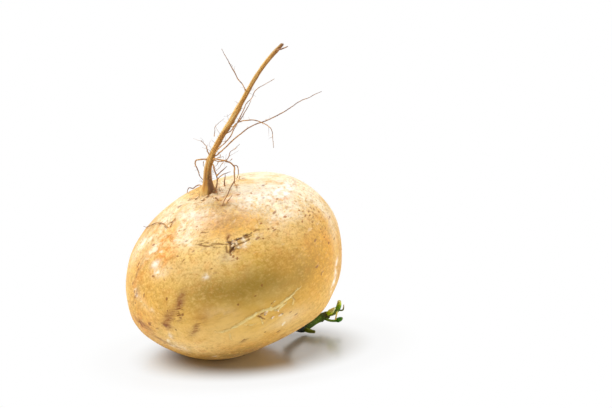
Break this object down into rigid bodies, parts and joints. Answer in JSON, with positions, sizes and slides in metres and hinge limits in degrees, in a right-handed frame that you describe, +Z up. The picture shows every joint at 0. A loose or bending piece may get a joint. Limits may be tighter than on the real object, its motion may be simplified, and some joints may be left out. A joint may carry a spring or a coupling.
{
  "type": "jicama root",
  "caption": "Squat swollen jicama root lying on a small flat spot, with its thin tap root as a tail, fine side roots and a short stub of green vine.",
  "frame": {"origin": "on the resting plane, in the flat spot, straight under the middle of the swollen root", "axes": "+Z up, -Y to the front, +X to the right, where the vine stub points"},
  "size_m": [0.1258, 0.1276, 0.1771],
  "materials": {
    "skin": "satin",
    "tail_bark": "matte",
    "root_thread": "matte",
    "old_stem": "satin",
    "young_shoot": "satin"
  },
  "bodies": {
    "root": {"axil_bud": "young_shoot", "leaf_base": "young_shoot", "leaf_stalk": "young_shoot", "old_stem_stub": "old_stem", "side_root_collar": "root_thread", "side_root_collar_branch": "root_thread", "side_root_collar_twig": "root_thread", "side_root_curled": "root_thread", "side_root_far": "root_thread", "side_root_left": "root_thread", "side_root_left_loop": "root_thread", "side_root_long": "root_thread", "side_root_loop_branch": "root_thread", "side_root_loop_twig": "root_thread", "side_root_near": "root_thread", "side_root_right": "root_thread", "side_root_right_loop": "root_thread", "side_root_top": "root_thread", "skin_root_crossing": "root_thread", "skin_root_front": "root_thread", "skin_root_left": "root_thread", "skin_root_shoulder": "root_thread", "skin_root_upright": "root_thread", "stipule_left": "young_shoot", "stipule_right": "young_shoot", "tail_root": "tail_bark", "tail_twig": "root_thread", "tuber": "skin", "vine_shoot": "young_shoot", "vine_stem": "old_stem"}
  },
  "joints": []
}
